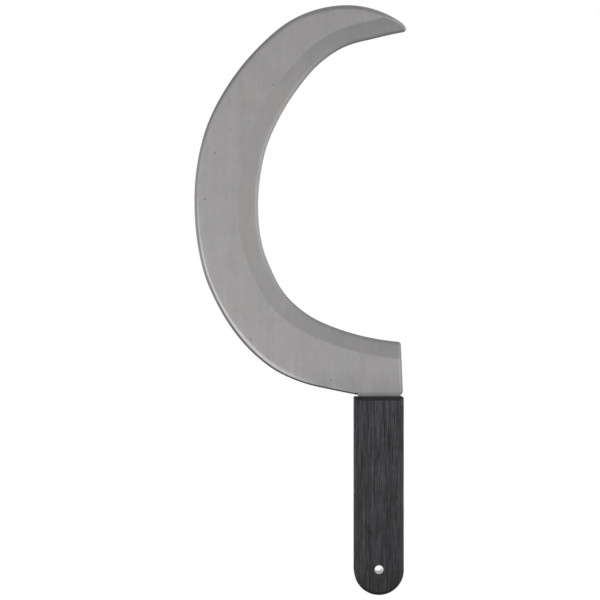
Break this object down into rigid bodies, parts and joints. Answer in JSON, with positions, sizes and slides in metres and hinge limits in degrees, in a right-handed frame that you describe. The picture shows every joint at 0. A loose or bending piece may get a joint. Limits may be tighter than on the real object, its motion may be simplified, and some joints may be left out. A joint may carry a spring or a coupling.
{
  "type": "hand sickle",
  "caption": "Crescent-bladed hand sickle: flat satin steel blade with a ground inner edge, on a straight black slab grip with a round butt and a lanyard hole.",
  "frame": {"origin": "middle of the grip: half-way along it, half-way across it and in the middle of its thickness", "axes": "+Z runs along the grip towards the blade, the blade lies in the XZ plane, +X is the side that the crescent opens to, and -Y is the front"},
  "size_m": [0.1368, 0.018, 0.3795],
  "materials": {
    "satin_steel": "satin, brushed in fine streaks along the handle's direction, ground bevel at the inner edge",
    "black_wood": "black-stained hardwood, dull, with open grain along the grip",
    "tube_steel": "smooth drawn tube",
    "pin_steel": "plain drawn pin"
  },
  "bodies": {
    "root": {"blade": "satin_steel", "handle_scale_front": "black_wood", "handle_scale_back": "black_wood", "lanyard_tube": "tube_steel", "tang_pin_1": "pin_steel", "tang_pin_2": "pin_steel", "tang_pin_3": "pin_steel"}
  },
  "joints": []
}
